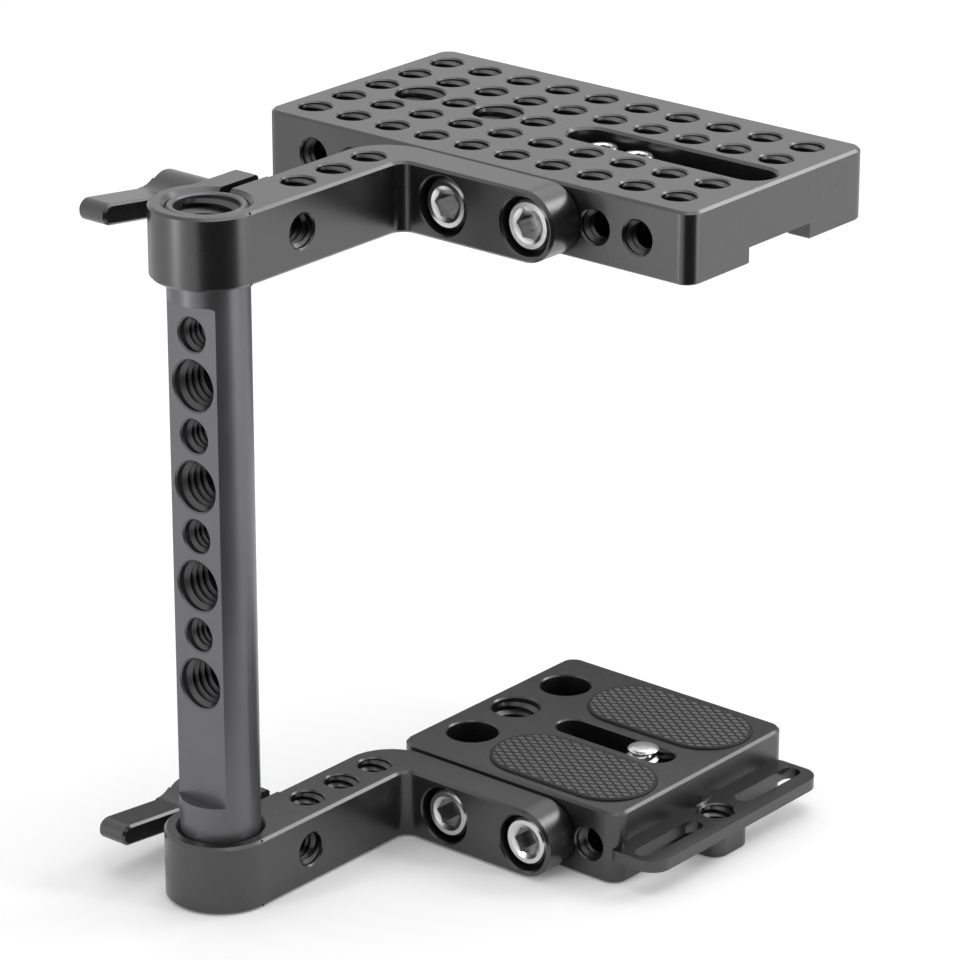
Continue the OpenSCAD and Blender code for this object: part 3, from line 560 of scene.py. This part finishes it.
class CAGE_OT_finishes(bpy.types.Operator):
    """Give every metal and rubber piece its finish"""
    bl_idname = "cage.finishes"
    bl_label = "Finishes"

    def execute(self, context):
        colours = context.scene.cage_colours
        sizes = context.scene.cage_sizes
        # The anodised ones: name, colour, metallic, roughness, grain in mm and strength of the relief; the
        # threads' colour is darkened as painted shade
        finishes = {
            "anodised_black": anodised("bead_blasted_anodised", colours.plates, 0.05, 0.26, 0.16, 0.2),
            "anodised_rod": anodised("drawn_anodised", colours.rod, 0.75, 0.34, 0.12, 0.25),
            "lever_black": anodised("tumbled_anodised", colours.levers, 0.05, 0.26, 0.2, 0.3),
            "nylon_black": matt_nylon("matt_nylon", colours.nylon),
            # The darker colour of the thread ridges is painted shade inside the holes
            "tapped": anodised("tapped_anodised", colours.threads, 0.05, 0.32, 0.12, 0.15),
            "block_aluminium": anodised("machined_anodised", colours.plates, 0.2, 0.34, 0.14, 0.25),
        }
        for part in frame["record"]["subparts"]:
            name, slot = part["node"], part["material_slot"]
            node = frame["nodes"][name]
            low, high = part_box(name)
            centre = (low + high) / 2
            if slot == "stainless_steel":
                kind = next(word for word in AXES if word in name)
                axis, socket_r = AXES[kind]
                face = abs(Vector(axis).dot(high - centre))
                finish = turned_steel("turned_steel_" + name, colours.steel, 0.2, centre, axis,
                                      socket_r, face)
            elif slot == "pad_rubber":
                width = high.y - low.y
                finish = diamond_rubber("diamond_rubber_" + name, colours.pads, sizes.diamond_pitch / MM,
                                        centre, high.x - low.x - width, width / 2)
            else:
                finish = finishes[slot]
            node.data.materials.clear()
            node.data.materials.append(finish)
        return {"FINISHED"}


class CAGE_OT_threads(bpy.types.Operator):
    """Wind a thread ridge into every open tapped hole"""
    bl_idname = "cage.threads"
    bl_label = "Threads"

    def execute(self, context):
        sizes = context.scene.cage_sizes
        # Pitch, and steps in a turn
        pitches = {
            SMALL_R: (sizes.small_pitch, 22),
            LARGE_R: (sizes.large_pitch, 28),
            ROD_R: (sizes.rod_pitch, 36),
        }
        tapped = bpy.data.materials["tapped_anodised"]
        ridges = {}
        for name, body, radius, axis, depth, places in tapped_holes():
            pitch, steps = pitches[radius]
            turn = axis.to_track_quat("Z", "Y").to_matrix().to_4x4()
            for number, place in enumerate(places):
                length = depth
                if name.startswith("top_inner") and place.x > CHANNEL_START:
                    length = OVER_CHANNEL
                key = (radius, round(length, 3))
                if key not in ridges:
                    ridges[key] = thread_ridge("ridge_%d_%d" % (radius * 1000, length / MM * 10),
                                               radius * MM, pitch, length, steps)
                foot = place - axis * length
                place_copy(ridges[key], "%s_thread_%d" % (name, number + 1),
                           Matrix.Translation(foot) @ turn, body, tapped)
        for ridge in ridges.values():
            bpy.data.objects.remove(ridge)
        return {"FINISHED"}


class CAGE_OT_camera_screw(bpy.types.Operator):
    """Turn the camera screw: coin-slotted head, thin neck and a short thread with a domed tip"""
    bl_idname = "cage.camera_screw"
    bl_label = "Camera screw"

    def execute(self, context):
        sizes = context.scene.cage_sizes
        low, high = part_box("camera_screw")
        centre = Vector(((low.x + high.x) / 2, (low.y + high.y) / 2, 0))
        head_r = (high.x - low.x) / 2
        # Top of the web that the neck passes through, where the thread starts
        web_top = 9.85 * MM
        thread_r = 3.12 * MM
        core_r = thread_r - 0.5 * sizes.small_pitch
        tip_r = thread_r - 0.1 * MM
        neck_r = 2.3 * MM
        rim = 0.3 * MM
        head_top = low.z + 2.5 * MM
        tip_base = high.z - 1.0 * MM
        coin_slot_w = 1.25 * MM
        coin_slot_depth = 1.25 * MM
        outline = [
            (0, low.z), (head_r - rim, low.z), (head_r, low.z + rim), (head_r, head_top - rim),
            (head_r - rim, head_top), (neck_r, head_top), (neck_r, web_top), (core_r, web_top),
            (core_r, tip_base), (tip_r, tip_base + 0.3 * MM), (tip_r, high.z - 0.5 * MM),
            (tip_r - 0.35 * MM, high.z - 0.2 * MM), (tip_r - 1.3 * MM, high.z - 0.06 * MM), (0, high.z),
        ]
        screw = turn_profile("camera_screw_turned", outline, 48)
        pitch = sizes.small_pitch
        # The ridge is that of an outside thread and runs out under the tip
        root_r = core_r - 0.05 * MM
        foot = 0.92
        ridge_outline = [(root_r, 0), (thread_r, 0.4 * pitch), (thread_r, 0.52 * pitch),
                         (root_r, foot * pitch)]
        turns = int((tip_base - web_top) / pitch - foot)
        ridge = turn_profile("camera_screw_ridge", ridge_outline, 40, pitch, turns)
        run_out(ridge, len(ridge_outline), 10, root_r)
        ridge.data.transform(Matrix.Translation((0, 0, tip_base + 0.25 * MM - (turns + foot) * pitch)))
        # Slot for a coin across the head's underside
        deselect_all()
        bpy.ops.mesh.primitive_cube_add(size=1, location=(0, 0, low.z),
                                        scale=(3 * head_r, coin_slot_w, 2 * coin_slot_depth))
        slot = bpy.context.active_object
        cut = screw.modifiers.new("Slot", "BOOLEAN")
        cut.object = slot
        cut.operation = "DIFFERENCE"
        cut.solver = "EXACT"
        activate(screw)
        bpy.ops.object.modifier_apply(modifier=cut.name)
        bpy.data.objects.remove(slot)
        activate(screw)
        ridge.select_set(True)
        bpy.ops.object.join()
        screw.data.transform(Matrix.Translation(centre))
        activate(screw)
        bpy.ops.object.shade_smooth_by_angle(angle=SMOOTH_ANGLE)
        screw.data.materials.clear()
        screw.data.materials.append(bpy.data.materials["turned_steel_camera_screw"])
        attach(screw, "camera_screw")
        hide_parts("camera_screw")
        return {"FINISHED"}


class CAGE_OT_studio(bpy.types.Operator):
    """Set up the floor, the soft light and the camera"""
    bl_idname = "cage.studio"
    bl_label = "Studio"

    def execute(self, context):
        scene = context.scene
        colours = scene.cage_colours
        scene.view_settings.view_transform = "Standard"
        deselect_all()
        bpy.ops.mesh.primitive_plane_add(size=12, location=(MIDDLE.x, MIDDLE.y, -0.2 * MM))
        floor = context.active_object
        floor.name = "studio_floor"
        floor.data.transform(floor.matrix_world)
        floor.matrix_world = Matrix.Identity(4)
        floor.data.materials.append(studio_floor("paper_sweep", colours.floor))

        # Two cards that only reflections show: the black one in front puts the dark band on round
        # faces, the grey one behind calms the low upper faces
        reflected_card("front_card", colours.front_card,
                       [(0.10, 0.0004), (0.45, 0.0004), (0.45, 0.30)], -72, 8)
        reflected_card("back_card", colours.back_card, [(0.20, 0.001), (0.20, 0.115)], 85, 175)
        light_room(scene)
        # name, place, width, height, watts
        lamps = [
            ("top_soft_box", (0.05, 0.20, 0.70), 0.8, 0.8, 2.8),
            ("rim_soft_box", (0.40, 0.78, 0.66), 0.3, 0.3, 1.6),
            ("left_strip", (-0.18, -0.52, 0.12), 0.10, 0.26, 1.2),
            ("right_strip", (0.78, 0.28, 0.14), 0.12, 0.26, 2.4),
        ]
        for lamp in lamps:
            soft_lamp(scene, *lamp)
        aim_camera(scene)
        return {"FINISHED"}


class CAGE_PT_panel(bpy.types.Panel):
    bl_idname = "CAGE_PT_panel"
    bl_label = "Camera Cage"
    bl_space_type = "VIEW_3D"
    bl_region_type = "UI"
    bl_category = "Camera Cage"

    def draw(self, context):
        for group in (context.scene.cage_sizes, context.scene.cage_colours):
            for key in group.__annotations__:
                self.layout.prop(group, key)
        for operator in OPERATORS:
            self.layout.operator(operator.bl_idname)


OPERATORS = (CAGE_OT_finishes, CAGE_OT_threads, CAGE_OT_camera_screw, CAGE_OT_studio)
CLASSES = (CageSizes, CageColours) + OPERATORS + (CAGE_PT_panel,)


def register():
    for item in CLASSES:
        bpy.utils.register_class(item)
    bpy.types.Scene.cage_sizes = PointerProperty(type=CageSizes)
    bpy.types.Scene.cage_colours = PointerProperty(type=CageColours)


def unregister():
    del bpy.types.Scene.cage_colours
    del bpy.types.Scene.cage_sizes
    for item in reversed(CLASSES):
        bpy.utils.unregister_class(item)


def main():
    register()
    bpy.ops.cage.finishes()
    bpy.ops.cage.threads()
    bpy.ops.cage.camera_screw()
    bpy.ops.cage.studio()


if __name__ == "__main__":
    main()
